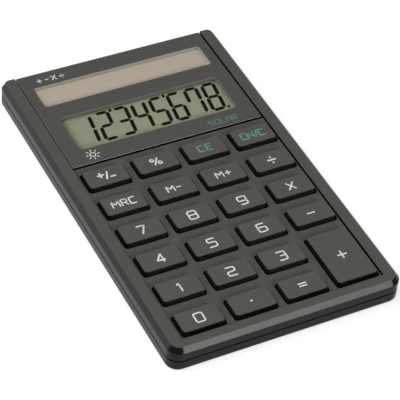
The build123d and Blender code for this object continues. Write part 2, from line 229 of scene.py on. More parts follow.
def feed(tree: bpy.types.NodeTree, value: object, slot: Socket) -> None:
    """Links a socket to a slot, or sets the slot to a number.

    Args:
        tree: Node tree that holds both.
        value: A socket, a number or a colour.
        slot: Input socket that receives it.
    """
    if isinstance(value, Socket):
        tree.links.new(value, slot)
    else:
        slot.default_value = value


def build_grain_group() -> bpy.types.NodeTree:
    """Fine moulded grain with a slow change of tone.

    Returns:
        A group that turns a position into a height and a tone.
    """
    inputs = {"Position": None, "Fineness": 5000.0, "Drift": 60.0}
    group = ShaderGroup("moulded_grain", inputs, ("Height", "Tone"))
    place = group.entry.outputs["Position"]
    pits = group.noise(place, group.entry.outputs["Fineness"], 2.0, 0.55)
    drift = group.noise(place, group.entry.outputs["Drift"], 2.0, 0.5)
    group.put("Height", pits)
    fine, slow = group.math("MULTIPLY", pits, 0.35), group.math("MULTIPLY", drift, 0.65)
    group.put("Tone", group.math("ADD", fine, slow))
    return group.tree


def build_wear_group() -> bpy.types.NodeTree:
    """Polish that handling leaves on surfaces which are neither flat nor upright, as on bevels.

    Returns:
        A group that turns a position and a surface direction into a mask.
    """
    inputs = {"Position": None, "Direction": None, "Amount": 0.5}
    group = ShaderGroup("handling_wear", inputs, ("Mask",))
    tilt = group.math("ABSOLUTE", group.split(group.entry.outputs["Direction"], "Z"))
    sloped = group.range(tilt, 0.25, 0.55)
    not_level = group.math("SUBTRACT", 1.0, group.range(tilt, 0.85, 0.98))
    edge = group.math("MULTIPLY", sloped, not_level)
    patch = group.range(group.noise(group.entry.outputs["Position"], 900.0, 3.0, 0.6), 0.42, 0.68)
    mask = group.math("MULTIPLY", edge, patch)
    group.put("Mask", group.math("MULTIPLY", mask, group.entry.outputs["Amount"], clamp=True))
    return group.tree


def build_dust_group() -> bpy.types.NodeTree:
    """Sparse specks of dust and lint.

    Returns:
        A group that turns a position into a mask.
    """
    group = ShaderGroup("dust_specks", {"Position": None, "Amount": 0.5}, ("Mask",))
    place = group.entry.outputs["Position"]
    specks = group.range(group.noise(place, 2600.0, 0.0, 0.5), 0.70, 0.80)
    zones = group.range(group.noise(place, 90.0, 1.0, 0.5), 0.40, 0.75)
    mask = group.math("MULTIPLY", specks, zones)
    group.put("Mask", group.math("MULTIPLY", mask, group.entry.outputs["Amount"], clamp=True))
    return group.tree


@dataclass(frozen=True)
class Effects:
    """The shader groups that several finishes share."""

    grain: bpy.types.NodeTree
    wear: bpy.types.NodeTree
    dust: bpy.types.NodeTree

    @classmethod
    def build(cls) -> "Effects":
        """Builds every shared group once."""
        return cls(build_grain_group(), build_wear_group(), build_dust_group())


class MaterialDraft(Wiring):
    """A material being wired round one Principled shader."""

    def __init__(self, name: str, effects: Effects) -> None:
        """Starts a material.

        Args:
            name: Name of the material.
            effects: Shared shader groups.
        """
        self.effects = effects
        self.material = bpy.data.materials.new(name)
        self.material.use_nodes = True
        self.tree = self.material.node_tree
        self.tree.nodes.clear()
        self.shader = self.tree.nodes.new("ShaderNodeBsdfPrincipled")
        output = self.tree.nodes.new("ShaderNodeOutputMaterial")
        self.tree.links.new(self.shader.outputs[0], output.inputs["Surface"])
        coordinate = self.tree.nodes.new("ShaderNodeTexCoord")
        self.place = coordinate.outputs["Object"]

    def set(self, **values: object) -> None:
        """Sets plain values on the shader; an underscore in a name stands for a space."""
        for label, value in values.items():
            self.shader.inputs[label.replace("_", " ")].default_value = value

    def link(self, socket: Socket, label: str) -> None:
        """Links a socket to one of the shader's inputs."""
        self.tree.links.new(socket, self.shader.inputs[label])

    def group(self, tree: bpy.types.NodeTree, **values: float) -> bpy.types.Node:
        """Places a shared group that reads this material's position.

        Args:
            tree: The group.
            values: Its input values by name.

        Returns:
            The group's node.
        """
        node = self.tree.nodes.new("ShaderNodeGroup")
        node.node_tree = tree
        self.tree.links.new(self.place, node.inputs["Position"])
        for label, value in values.items():
            node.inputs[label].default_value = value
        return node

    def mix(self, factor: object, first: object, second: object) -> Socket:
        """Mixes two colours.

        Args:
            factor: Share of the second one.
            first: A colour or its socket.
            second: A colour or its socket.

        Returns:
            The mixed colour.
        """
        node = self.tree.nodes.new("ShaderNodeMix")
        node.data_type = "RGBA"
        feed(self.tree, factor, node.inputs[0])
        for slot, colour in ((node.inputs[6], first), (node.inputs[7], second)):
            feed(self.tree, colour if isinstance(colour, Socket) else (*colour, 1.0), slot)
        return node.outputs[2]

    def axis(self, letter: str) -> Socket:
        """One coordinate of the position, in metres."""
        return self.split(self.place, letter)

    def direction(self) -> Socket:
        """The direction that the surface faces."""
        return self.tree.nodes.new("ShaderNodeNewGeometry").outputs["Normal"]

    def toned(
        self, grain: bpy.types.Node, colour: Colour, low: float, high: float
    ) -> Socket:
        """A colour that the grain makes darker and lighter, between two shares of itself."""
        return self.mix(grain.outputs["Tone"], scaled(colour, low), scaled(colour, high))

    def roughen(self, grain: bpy.types.Node, first: float, last: float) -> None:
        """Drives the roughness with the grain's tone."""
        self.link(self.range(grain.outputs["Tone"], *TONE_SPAN, first, last), "Roughness")

    def bump(self, height: Socket, depth: float, strength: float) -> None:
        """Turns a height into relief.

        Args:
            height: Height from 0 to 1.
            depth: Depth of the relief in metres.
            strength: Share of it that shows.
        """
        node = self.tree.nodes.new("ShaderNodeBump")
        node.inputs["Strength"].default_value = strength
        node.inputs["Distance"].default_value = depth
        self.tree.links.new(height, node.inputs["Height"])
        self.link(node.outputs["Normal"], "Normal")


def scaled(colour: Colour, share: float) -> Colour:
    """A colour made lighter or darker by a share."""
    return tuple(min(1.0, channel * share) for channel in colour)


# ------------------------------------------------------------------ finishes


@dataclass(frozen=True)
class Finish:
    """A material, named after its slot in the record or its ink."""

    name: str

    def build(self, effects: Effects) -> bpy.types.Material:
        """Makes the material.

        Args:
            effects: Shared shader groups.

        Returns:
            The finished material.
        """
        draft = MaterialDraft(self.name, effects)
        self.wire(draft)
        return draft.material

    def wire(self, draft: MaterialDraft) -> None:
        """Wires the material, in each kind of finish's own way."""
        raise NotImplementedError


@dataclass(frozen=True)
class MouldedPlastic(Finish):
    """Satin moulded plastic with grain, wear on its bevels and a little dust."""

    colour: Colour
    roughness: float = 0.32
    specular: float = 0.5
    fineness: float = 5200.0
    relief: float = 0.000008
    contrast: float = 0.08
    wear: float = 0.4
    dust: float = 0.12
    worn_share: float = 1.25
    dust_colour: Colour = (0.33, 0.32, 0.30)

    def wire(self, draft: MaterialDraft) -> None:
        """Wires the material.

        Args:
            draft: Material to wire.
        """
        grain = draft.group(draft.effects.grain, Fineness=self.fineness)
        wear = draft.group(draft.effects.wear, Amount=self.wear)
        draft.tree.links.new(draft.direction(), wear.inputs["Direction"])
        dust = draft.group(draft.effects.dust, Amount=self.dust)
        base = draft.toned(grain, self.colour, 1 - self.contrast, 1 + self.contrast)
        worn = draft.mix(wear.outputs["Mask"], base, scaled(self.colour, self.worn_share))
        draft.link(draft.mix(dust.outputs["Mask"], worn, self.dust_colour), "Base Color")
        draft.roughen(grain, self.roughness - 0.05, self.roughness + 0.05)
        draft.bump(grain.outputs["Height"], self.relief, 0.5)
        draft.set(Specular_IOR_Level=self.specular)


@dataclass(frozen=True)
class WindowWalls:
    """Walls of a window, coloured lighter than the panel's black body: painted light that the solar
    cell and the display film throw onto them.

    Args:
        half: Half width of the window.
        front: Y of its front edge.
        rear: Y of its rear edge.
        colour: Painted colour of the walls, standing in for the light that reaches them.
    """

    half: float
    front: float
    rear: float
    colour: Colour

    def mask(self, draft: MaterialDraft) -> Socket:
        """Marks the walls.

        Args:
            draft: Material that asks for the mask.

        Returns:
            A value that is 1 on the walls.
        """
        inner, outer = 0.05 * MM, 0.1 * MM
        x, y = draft.axis("X"), draft.axis("Y")
        parts = (
            draft.range(x, -self.half - outer, -self.half - inner),
            draft.range(x, self.half + inner, self.half + outer, 1.0, 0.0),
            draft.range(y, self.front - outer, self.front - inner),
            draft.range(y, self.rear + inner, self.rear + outer, 1.0, 0.0),
        )
        mask = parts[0]
        for part in parts[1:]:
            mask = draft.math("MULTIPLY", mask, part)
        return mask


@dataclass(frozen=True)
class CoatedPlastic(Finish):
    """Glossy black moulding with a satin grey coat on its level upper faces."""

    coat: Colour
    coat_line: float  # the coat lies above this height, in metres
    flatness: float = 0.9  # least upward share of a coated face's direction
    body: Colour = (0.0045, 0.0045, 0.0045)
    coat_roughness: float = 0.40
    body_roughness: float = 0.17
    specular: float = 0.13
    specular_tint: tuple[float, float, float, float] = (1.0, 1.0, 0.95, 1.0)
    dust_colour: Colour = (0.30, 0.29, 0.27)
    line_blur: float = 0.02 * MM
    edge: Colour | None = None  # painted highlight colour of the rounded edge by the coat, when it is not the body's
    # walls of windows in the moulding, with painted light on them
    windows: tuple[WindowWalls, ...] = ()

    def wire(self, draft: MaterialDraft) -> None:
        """Wires the material.

        Args:
            draft: Material to wire.
        """
        grain = draft.group(draft.effects.grain, Fineness=5600.0, Drift=90.0)
        dust = draft.group(draft.effects.dust, Amount=0.1)
        wear = draft.group(draft.effects.wear, Amount=0.3)
        direction = draft.direction()
        draft.tree.links.new(direction, wear.inputs["Direction"])
        coat = draft.toned(grain, self.coat, 0.93, 1.07)
        coat = draft.mix(dust.outputs["Mask"], coat, self.dust_colour)
        body = draft.toned(grain, self.body, 0.8, 1.2)
        body = draft.mix(wear.outputs["Mask"], body, scaled(self.body, 3.0))
        # Painted light: each window's walls take a lighter colour than the black body.
        for window in self.windows:
            body = draft.mix(window.mask(draft), body, window.colour)
        level = draft.range(draft.split(direction, "Z"), self.flatness - 0.03, self.flatness)
        line, blur = self.coat_line, self.line_blur
        high = draft.range(draft.axis("Z"), line - blur, line + blur)
        mask = draft.mix(high, BLACK, draft.mix(level, BLACK, (1.0, 1.0, 1.0)))
        # Painted highlight: the rounded edge just above the coat line takes the lighter edge
        # colour.
        if self.edge:
            body = draft.mix(high, body, self.edge)
        draft.link(draft.mix(mask, body, coat), "Base Color")
        roughness = draft.range(mask, 0.0, 1.0, self.body_roughness, self.coat_roughness)
        draft.link(roughness, "Roughness")
        height = draft.mix(mask, (0.5, 0.5, 0.5), grain.outputs["Height"])
        draft.bump(height, depth=0.000002, strength=0.3)
        draft.set(Specular_IOR_Level=self.specular, Specular_Tint=self.specular_tint)


@dataclass(frozen=True)
class PrintedInk(Finish):
    """Matt printing ink with slightly uneven cover."""

    colour: Colour
    thin_share: float = 0.85
    roughness: float = 0.6
    specular: float = 0.3

    def wire(self, draft: MaterialDraft) -> None:
        """Wires the material.

        Args:
            draft: Material to wire.
        """
        grain = draft.group(draft.effects.grain, Fineness=7000.0, Drift=900.0)
        draft.link(draft.toned(grain, self.colour, self.thin_share, 1.0), "Base Color")
        draft.roughen(grain, self.roughness - 0.06, self.roughness + 0.06)
        draft.bump(grain.outputs["Height"], 0.000006, 0.4)
        draft.set(Specular_IOR_Level=self.specular)


@dataclass(frozen=True)
class DisplayFilm(Finish):
    """Grey-green polarising film over a reflector, darker towards its left end, where a shadow of
    the window's left wall is painted.
    """

    colour: Colour
    shade: Colour
    half_width: float
    roughness: float = 0.42
    shade_reach: float = 3.2 * MM  # inward from the left end
    shade_share: float = 0.6

    def wire(self, draft: MaterialDraft) -> None:
        """Wires the material.

        Args:
            draft: Material to wire.
        """
        grain = draft.group(draft.effects.grain, Fineness=9000.0, Drift=45.0)
        tint = draft.toned(grain, self.colour, 0.95, 1.05)
        left = -self.half_width
        # Painted shadow of the window's left wall: darkest at the left end, fading out inward.
        reach = draft.range(draft.axis("X"), left, left + self.shade_reach, self.shade_share, 0.0)
        draft.link(draft.mix(reach, tint, self.shade), "Base Color")
        draft.roughen(grain, self.roughness - 0.05, self.roughness + 0.05)
        draft.bump(grain.outputs["Height"], 0.000004, 0.4)
        draft.set(Specular_IOR_Level=0.35)


@dataclass(frozen=True)
class SolarGlass(Finish):
    """Amorphous solar cell: brown layers behind polished glass, with fine scribed lines."""

    colour: Colour
    line_colour: Colour
    pitch: float = 0.55 * MM

    def wire(self, draft: MaterialDraft) -> None:
        """Wires the material.

        Args:
            draft: Material to wire.
        """
        grain = draft.group(draft.effects.grain, Fineness=1600.0, Drift=35.0)
        wave = draft.tree.nodes.new("ShaderNodeTexWave")
        wave.bands_direction = "Y"
        wave.inputs["Scale"].default_value = math.pi / (10 * self.pitch)
        draft.tree.links.new(draft.place, wave.inputs["Vector"])
        base = draft.toned(grain, self.colour, 0.94, 1.06)
        lines = draft.range(wave.outputs["Fac"], 0.9, 1.0, 0.0, 0.25)
        draft.link(draft.mix(lines, base, self.line_colour), "Base Color")
        draft.roughen(grain, 0.30, 0.38)
        draft.set(Specular_IOR_Level=0.5, Coat_Weight=0.6, Coat_Roughness=0.08)


@dataclass(frozen=True)
class ClearPlastic(Finish):
    """Clear sheet that covers the display, nearly open to light, with the faintest ripple."""

    tint: Colour = (0.02, 0.021, 0.019)
    cover: float = 0.08

    def wire(self, draft: MaterialDraft) -> None:
        """Wires the material.

        Args:
            draft: Material to wire.
        """
        grain = draft.group(draft.effects.grain, Fineness=400.0, Drift=80.0)
        draft.link(draft.toned(grain, self.tint, 0.95, 1.0), "Base Color")
        draft.roughen(grain, 0.08, 0.12)
        cover = draft.range(grain.outputs["Tone"], *TONE_SPAN, self.cover * 0.9, self.cover * 1.1)
        draft.link(cover, "Alpha")


@dataclass(frozen=True)
class ClearGlass(Finish):
    """Clear float glass with its slight green."""

    tint: Colour = (0.90, 0.95, 0.90)
    ior: float = 1.52

    def wire(self, draft: MaterialDraft) -> None:
        """Wires the material.

        Args:
            draft: Material to wire.
        """
        grain = draft.group(draft.effects.grain, Fineness=400.0, Drift=80.0)
        draft.link(draft.toned(grain, self.tint, 0.985, 1.0), "Base Color")
        draft.roughen(grain, 0.02, 0.05)
        draft.set(Transmission_Weight=1.0, IOR=self.ior, Metallic=0.0)


@dataclass(frozen=True)
class BrushedMetal(Finish):
    """Plated or rolled metal with fine lines and slight tarnish."""

    colour: Colour
    tarnish: Colour
    roughness: float = 0.3

    def wire(self, draft: MaterialDraft) -> None:
        """Wires the material.

        Args:
            draft: Material to wire.
        """
        mapping = draft.tree.nodes.new("ShaderNodeMapping")
        mapping.inputs["Scale"].default_value = (1.0, 12.0, 1.0)
        draft.tree.links.new(draft.place, mapping.inputs["Vector"])
        draft.place = mapping.outputs["Vector"]
        grain = draft.group(draft.effects.grain, Fineness=2500.0, Drift=200.0)
        draft.link(draft.mix(grain.outputs["Tone"], self.tarnish, self.colour), "Base Color")
        draft.roughen(grain, self.roughness + 0.1, self.roughness - 0.1)
        draft.bump(grain.outputs["Height"], 0.000006, 0.4)
        draft.set(Metallic=1.0)


# Sizes of the CAD that the nodes' boxes do not show.
CELL_COVERED = 0.7 * MM  # of the solar cell's edge, under the panel
GLASS_COVERED_SIDE = 2.6 * MM  # of the display glass, under the panel
GLASS_COVERED_FRONT = 4.4 * MM
GLASS_COVERED_REAR = 1.4 * MM
KEY_RISE = 1.4 * MM  # of the key tops over the surface between them


@dataclass(frozen=True)
class Levels:
    """Heights and windows of the CAD that finishes and print follow.

    Args:
        key_top: Height of the key tops.
        panel_top: Height of the display panel.
        keypad_floor: Height of the surface between the keys.
        lcd_half: Half width of the display's window.
        lcd_middle: Y of the middle of the display's window.
        windows: The panel's two windows, with the light painted on their walls.
    """

    key_top: float
    panel_top: float
    keypad_floor: float
    lcd_half: float
    lcd_middle: float
    windows: tuple[WindowWalls, ...]

    @classmethod
    def read(cls) -> "Levels":
        """Measures the CAD nodes.

        Returns:
            The levels and windows.
        """
        key_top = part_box("key_5")[1].z
        panel_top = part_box("display_panel")[1].z
        cell_low, cell_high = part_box("solar_cell")
        glass_low, glass_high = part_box("lcd_front_glass")
        lcd_half = glass_high.x - GLASS_COVERED_SIDE
        lcd_front, lcd_rear = glass_low.y + GLASS_COVERED_FRONT, glass_high.y - GLASS_COVERED_REAR
        # Painted light: lighter grey walls at the solar window, greenish walls at the display
        # window, for light thrown back onto them.
        solar = WindowWalls(
            cell_high.x - CELL_COVERED,
            cell_low.y + CELL_COVERED,
            cell_high.y - CELL_COVERED,
            (0.30, 0.293, 0.275),
        )
        display = WindowWalls(lcd_half, lcd_front, lcd_rear, (0.14, 0.142, 0.115))
        return cls(
            key_top=key_top,
            panel_top=panel_top,
            keypad_floor=key_top - KEY_RISE,
            lcd_half=lcd_half,
            lcd_middle=(lcd_front + lcd_rear) / 2,
            windows=(solar, display),
        )


@dataclass(frozen=True)
class FinishBook:
    """Every material of the calculator by its record slot or its ink."""

    materials: dict[str, bpy.types.Material]

    @classmethod
    def build(cls, effects: Effects, levels: Levels) -> "FinishBook":
        """Makes all materials.

        Args:
            effects: Shared shader groups.
            levels: Heights and windows that the finishes follow.

        Returns:
            The book.
        """
        finishes: tuple[Finish, ...] = (
            # The coat stops just under the keypad floor, so the floors of the narrow slots by the
            # rails keep the black body: two-tone moulding, and also painted shade in the slots.
            CoatedPlastic("case_plastic", (0.067, 0.0645, 0.0585), levels.keypad_floor - 0.05 * MM),
            CoatedPlastic(
                "panel_plastic",
                (0.065, 0.0625, 0.0575),
                levels.panel_top - 0.11 * MM,
                # painted highlight along the panel's rounded top edge
                edge=(0.17, 0.168, 0.155),
                windows=levels.windows,
            ),
            CoatedPlastic(
                "key_plastic",
                (0.070, 0.0675, 0.0620),
                levels.key_top - 0.1 * MM,
                flatness=0.93,
                body=(0.0035, 0.0033, 0.003),
            ),
            SolarGlass("solar_glass", (0.37, 0.32, 0.262), (0.22, 0.19, 0.155)),
            ClearPlastic("clear_lens"),
            ClearGlass("display_glass"),
            # the film's second colour is the painted shadow of the window's left wall
            DisplayFilm("polariser", (0.275, 0.284, 0.200), (0.07, 0.073, 0.055), levels.lcd_half),
            BrushedMetal("reflector", (0.62, 0.63, 0.56), (0.5, 0.5, 0.44), 0.45),
            BrushedMetal("cell_steel", (0.62, 0.61, 0.58), (0.48, 0.47, 0.44), 0.28),
            BrushedMetal("contact_brass", (0.72, 0.6, 0.33), (0.5, 0.4, 0.22), 0.3),
            BrushedMetal("screw_steel", (0.5, 0.5, 0.5), (0.3, 0.29, 0.28), 0.34),
            MouldedPlastic("contact_rubber", (0.08, 0.08, 0.085), 0.7, wear=0.0),
            MouldedPlastic("board", (0.30, 0.19, 0.07), 0.5, fineness=1500.0, wear=0.0),
            MouldedPlastic("mat_rubber", (0.30, 0.31, 0.31), 0.7, wear=0.0),
            MouldedPlastic("epoxy", (0.012, 0.012, 0.012), 0.25, wear=0.0),
            MouldedPlastic("ceramic_body", (0.36, 0.25, 0.15), 0.4, wear=0.0),
            MouldedPlastic("lead_red", (0.42, 0.03, 0.02), 0.45, wear=0.0),
            MouldedPlastic("lead_black", (0.015, 0.015, 0.015), 0.45, wear=0.0),
            MouldedPlastic("tape", (0.5, 0.48, 0.42), 0.7, fineness=900.0, wear=0.0),
            PrintedInk(Ink.LIGHT.value, (0.62, 0.61, 0.57)),
            PrintedInk(Ink.GREEN.value, (0.085, 0.25, 0.150)),
            PrintedInk(Ink.DISPLAY.value, (0.004, 0.0045, 0.0045), 0.7, 0.45, 0.1),
        )
        return cls({finish.name: finish.build(effects) for finish in finishes})

    def dress(self, piece: Piece, name: str) -> None:
        """Puts one material on every face of a piece."""
        piece.data.materials.clear()
        piece.data.materials.append(self.materials[name])


# ------------------------------------------------------------------ printed strokes


@dataclass
class StrokePrinter:
    """Turns centre lines into raised print with Geometry Nodes.

    Args:
        finishes: Materials by name.
        thickness: Thickness of the print in metres.
    """

    finishes: FinishBook
    thickness: float = 0.02 * MM
    tree: bpy.types.NodeTree = field(init=False)
    sockets: dict[str, str] = field(init=False)

    def __post_init__(self) -> None:
        """Builds the node tree with named inputs."""
        tree = bpy.data.node_groups.new("stroke_print", "GeometryNodeTree")
        face = tree.interface
        face.new_socket("Geometry", in_out="INPUT", socket_type="NodeSocketGeometry")
        for label in ("Width", "Thickness", "Corner Radius"):
            face.new_socket(label, in_out="INPUT", socket_type="NodeSocketFloat")
        face.new_socket("Ink", in_out="INPUT", socket_type="NodeSocketMaterial")
        face.new_socket("Geometry", in_out="OUTPUT", socket_type="NodeSocketGeometry")
        entry = tree.nodes.new("NodeGroupInput")
        leave = tree.nodes.new("NodeGroupOutput")
        lines = tree.nodes.new("GeometryNodeMeshToCurve")
        soften = tree.nodes.new("GeometryNodeFilletCurve")
        soften.mode = "POLY"
        soften.inputs["Count"].default_value = 4
        soften.inputs["Limit Radius"].default_value = True
        upright = tree.nodes.new("GeometryNodeSetCurveNormal")
        upright.mode = "Z_UP"
        profile = tree.nodes.new("GeometryNodeCurvePrimitiveQuadrilateral")
        skin = tree.nodes.new("GeometryNodeCurveToMesh")
        skin.inputs["Fill Caps"].default_value = True
        real = tree.nodes.new("GeometryNodeRealizeInstances")
        paint = tree.nodes.new("GeometryNodeSetMaterial")
        chain = [
            (entry.outputs["Geometry"], lines.inputs["Mesh"]),
            (lines.outputs["Curve"], soften.inputs["Curve"]),
            (entry.outputs["Corner Radius"], soften.inputs["Radius"]),
            (soften.outputs["Curve"], upright.inputs["Curve"]),
            (upright.outputs["Curve"], skin.inputs["Curve"]),
            (entry.outputs["Width"], profile.inputs["Width"]),
            (entry.outputs["Thickness"], profile.inputs["Height"]),
            (profile.outputs["Curve"], skin.inputs["Profile Curve"]),
            (skin.outputs["Mesh"], real.inputs["Geometry"]),
            (real.outputs["Geometry"], paint.inputs["Geometry"]),
            (entry.outputs["Ink"], paint.inputs["Material"]),
            (paint.outputs["Geometry"], leave.inputs["Geometry"]),
        ]
        for start, end in chain:
            tree.links.new(start, end)
        self.tree = tree
        entries = [item for item in face.items_tree if item.in_out == "INPUT"]
        self.sockets = {item.name: item.identifier for item in entries}

    def print(
        self,
        name: str,
        strokes: Iterable[Stroke],
        height: float,
        width: float,
        corner: float,
        ink: Ink,
        body: str,
    ) -> Piece:
        """Prints strokes on a level surface.

        Args:
            name: Name of the piece.
            strokes: Centre lines, in metres.
            height: Height of the surface that carries the print.
            width: Width of the strokes.
            corner: Radius at the corners of the strokes.
            ink: Ink to print in.
            body: CAD body that the piece rides on.

        Returns:
            The finished piece.
        """
        points, edges = [], []
        for place, stroke in enumerate(strokes):
            closed = stroke[0] == stroke[-1]
            first = len(points)
            # Strokes lie at three levels in turn, so crossing ones share no face.
            middle = height + self.thickness * (0.1 + 0.1 * (place % 3))
            points += [(x, y, middle) for x, y in (stroke[:-1] if closed else stroke)]
            edges += [(i, i + 1) for i in range(first, len(points) - 1)]
            if closed:
                edges.append((len(points) - 1, first))
        lines = bpy.data.meshes.new(name + "_lines")
        lines.from_pydata(points, edges, [])
        source = placed(name + "_source", lines)
        modifier = source.modifiers.new("stroke_print", "NODES")
        modifier.node_group = self.tree
        values = {
            "Width": width,
            "Thickness": self.thickness,
            "Corner Radius": corner,
            "Ink": self.finishes.materials[ink.value],
        }
        for label, value in values.items():
            modifier[self.sockets[label]] = value
        bpy.context.view_layer.update()
        graph = bpy.context.evaluated_depsgraph_get()
        mesh = bpy.data.meshes.new_from_object(source.evaluated_get(graph))
        mesh.name = name
        bpy.data.objects.remove(source)
        piece = placed(name, mesh)
        self.finishes.dress(piece, ink.value)
        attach(piece, body)
        return piece


@dataclass(frozen=True)
class Sign:
    """A sign drawn with strokes in a box one unit high."""

    width: float
    strokes: tuple[Stroke, ...]

    def placed(self, x: float, y: float, size: float, slant: float = 0.0) -> list[Stroke]:
        """The strokes at a place.

        Args:
            x: Left end of the sign's box.
            y: Middle of the sign's height.
            size: Height of the sign.
            slant: Sideways lean per unit of height.

        Returns:
            Strokes in metres.
        """
        return [
            tuple(
                (x + size * (px + slant * (py - 0.5)), y + size * (py - 0.5)) for px, py in stroke
            )
            for stroke in self.strokes
        ]


def ring(x: float, y: float, radius: float, corners: int = 12) -> Stroke:
    """A closed round stroke.

    Args:
        x: X of its middle.
        y: Y of its middle.
        radius: Its radius.
        corners: Number of its corners.

    Returns:
        The stroke.
    """
    turns = [2 * math.pi * i / corners for i in range(corners)]
    loop = [(x + radius * math.cos(t), y + radius * math.sin(t)) for t in turns]
    return (*loop, loop[0])


def dot(x: float, y: float, size: float) -> Stroke:
    """A short stroke that reads as a dot."""
    return ((x - size / 2, y), (x + size / 2, y))


def ray(turn: int) -> Stroke:
    """One of the sun's eight rays, about the middle of its box.

    Args:
        turn: Its number, from 0 to 7.

    Returns:
        The stroke.
    """
    angle = turn * math.pi / 4
    across, up = math.cos(angle), math.sin(angle)
    return tuple((0.5 + reach * across, 0.5 + reach * up) for reach in (0.33, 0.5))


W = 0.80  # width of a figure, as a share of its height
SIGNS: dict[str, Sign] = {
    "0": Sign(W, (((0, 0), (W, 0), (W, 1), (0, 1), (0, 0)),)),
    "1": Sign(0.34, (((0.0, 0.84), (0.1, 0.84), (0.26, 1.0), (0.26, 0.0)),)),
    "2": Sign(W, (((0, 1), (W, 1), (W, 0.52), (0, 0.46), (0, 0), (W, 0)),)),
    "3": Sign(W, (((0, 1), (W, 1), (W, 0), (0, 0)), ((0.24, 0.52), (W, 0.52)))),
    "4": Sign(W, (((0.56, 1), (0, 0.28), (W, 0.28)), ((0.58, 1), (0.58, 0)))),
    "5": Sign(W, (((W, 1), (0.06, 1), (0.06, 0.56), (W, 0.56), (W, 0), (0, 0)),)),
    "6": Sign(W, (((W - 0.06, 1), (0, 1), (0, 0), (W, 0), (W, 0.56), (0, 0.56)),)),
    "7": Sign(W, (((0, 1), (W, 1), (0.3, 0)),)),
    "8": Sign(W, (((0, 0), (W, 0), (W, 1), (0, 1), (0, 0)), ((0.05, 0.52), (W - 0.05, 0.52)))),
    "9": Sign(W, (((W, 0.44), (0, 0.44), (0, 1), (W, 1), (W, 0), (0.06, 0)),)),
    "M": Sign(0.86, (((0, 0), (0, 1), (0.43, 0.42), (0.86, 1), (0.86, 0)),)),
    "R": Sign(
        0.72, (((0, 0), (0, 1), (0.68, 1), (0.68, 0.48), (0, 0.48)), ((0.36, 0.48), (0.72, 0)))
    ),
    "C": Sign(0.72, (((0.72, 1), (0, 1), (0, 0), (0.72, 0)),)),
    "E": Sign(0.68, (((0.68, 1), (0, 1), (0, 0), (0.68, 0)), ((0, 0.52), (0.6, 0.52)))),
    "O": Sign(0.76, (((0, 0), (0.76, 0), (0.76, 1), (0, 1), (0, 0)),)),
    "N": Sign(0.74, (((0, 0), (0, 1), (0.74, 0), (0.74, 1)),)),
    "L": Sign(0.62, (((0, 1), (0, 0), (0.62, 0)),)),
    "A": Sign(0.74, (((0, 0), (0, 1), (0.74, 1), (0.74, 0)), ((0, 0.42), (0.74, 0.42)))),
    "S": Sign(0.70, (((0.70, 1), (0, 1), (0, 0.5), (0.70, 0.5), (0.70, 0), (0, 0)),)),
    "/": Sign(0.42, (((0, -0.05), (0.42, 1.05)),)),
    "minus": Sign(0.62, (((0, 0.5), (0.62, 0.5)),)),
    "plus": Sign(0.86, (((0, 0.5), (0.86, 0.5)), ((0.43, 0.07), (0.43, 0.93)))),
    "times": Sign(0.8, (((0, 0), (0.8, 1)), ((0, 1), (0.8, 0)))),
    "divide": Sign(0.86, (((0, 0.5), (0.86, 0.5)), dot(0.43, 0.86, 0.17), dot(0.43, 0.14, 0.17))),
    "equals": Sign(0.86, (((0, 0.34), (0.86, 0.34)), ((0, 0.66), (0.86, 0.66)))),
    "point": Sign(0.2, (dot(0.1, 0.5, 0.2),)),
    "percent": Sign(1.12, (((0.26, 0), (0.86, 1)), ring(0.2, 0.76, 0.19), ring(0.92, 0.24, 0.19))),
    "sun": Sign(1.0, (ring(0.5, 0.5, 0.2, 16), *(ray(turn) for turn in range(8)))),
}


@dataclass(frozen=True)
class Lettering:
    """A row of signs.

    Args:
        signs: Names of the signs in order.
        size: Height of the signs in metres.
        gap: Space between them, as a share of the height.
        slant: Sideways lean.
        rise: Height of each sign's middle over the row's middle, as a share of the size.
        shares: Size of each sign as a share of the row's size.
    """

    signs: tuple[str, ...]
    size: float
    gap: float = 0.3
    slant: float = 0.0
    rise: tuple[float, ...] = ()
    shares: tuple[float, ...] = ()

    def strokes(self, x: float, y: float) -> list[Stroke]:
        """The row's strokes, centred on a point.

        Args:
            x: Middle of the row.
            y: Middle of its height.

        Returns:
            Strokes in metres.
        """
        shares = self.shares or (1.0,) * len(self.signs)
        rise = self.rise or (0.0,) * len(self.signs)
        widths = [SIGNS[name].width * self.size * share for name, share in zip(self.signs, shares)]
        left = x - (sum(widths) + self.gap * self.size * (len(widths) - 1)) / 2
        drawn: list[Stroke] = []
        for name, share, lift, width in zip(self.signs, shares, rise, widths):
            drawn += SIGNS[name].placed(left, y + lift * self.size, self.size * share, self.slant)
            left += width + self.gap * self.size
        return drawn


# ------------------------------------------------------------------ sub-assemblies


@dataclass
class Shells:
    """Upper and lower case."""

    nodes: tuple[str, ...] = ("upper_case", "lower_case")

    def dress(self, finishes: FinishBook) -> None:
        """Gives the shells their plastic.

        Args:
            finishes: Materials by name.
        """
        for node in self.nodes:
            finishes.dress(frame["nodes"][node], "case_plastic")
            LOG.info("dressed %s", node)


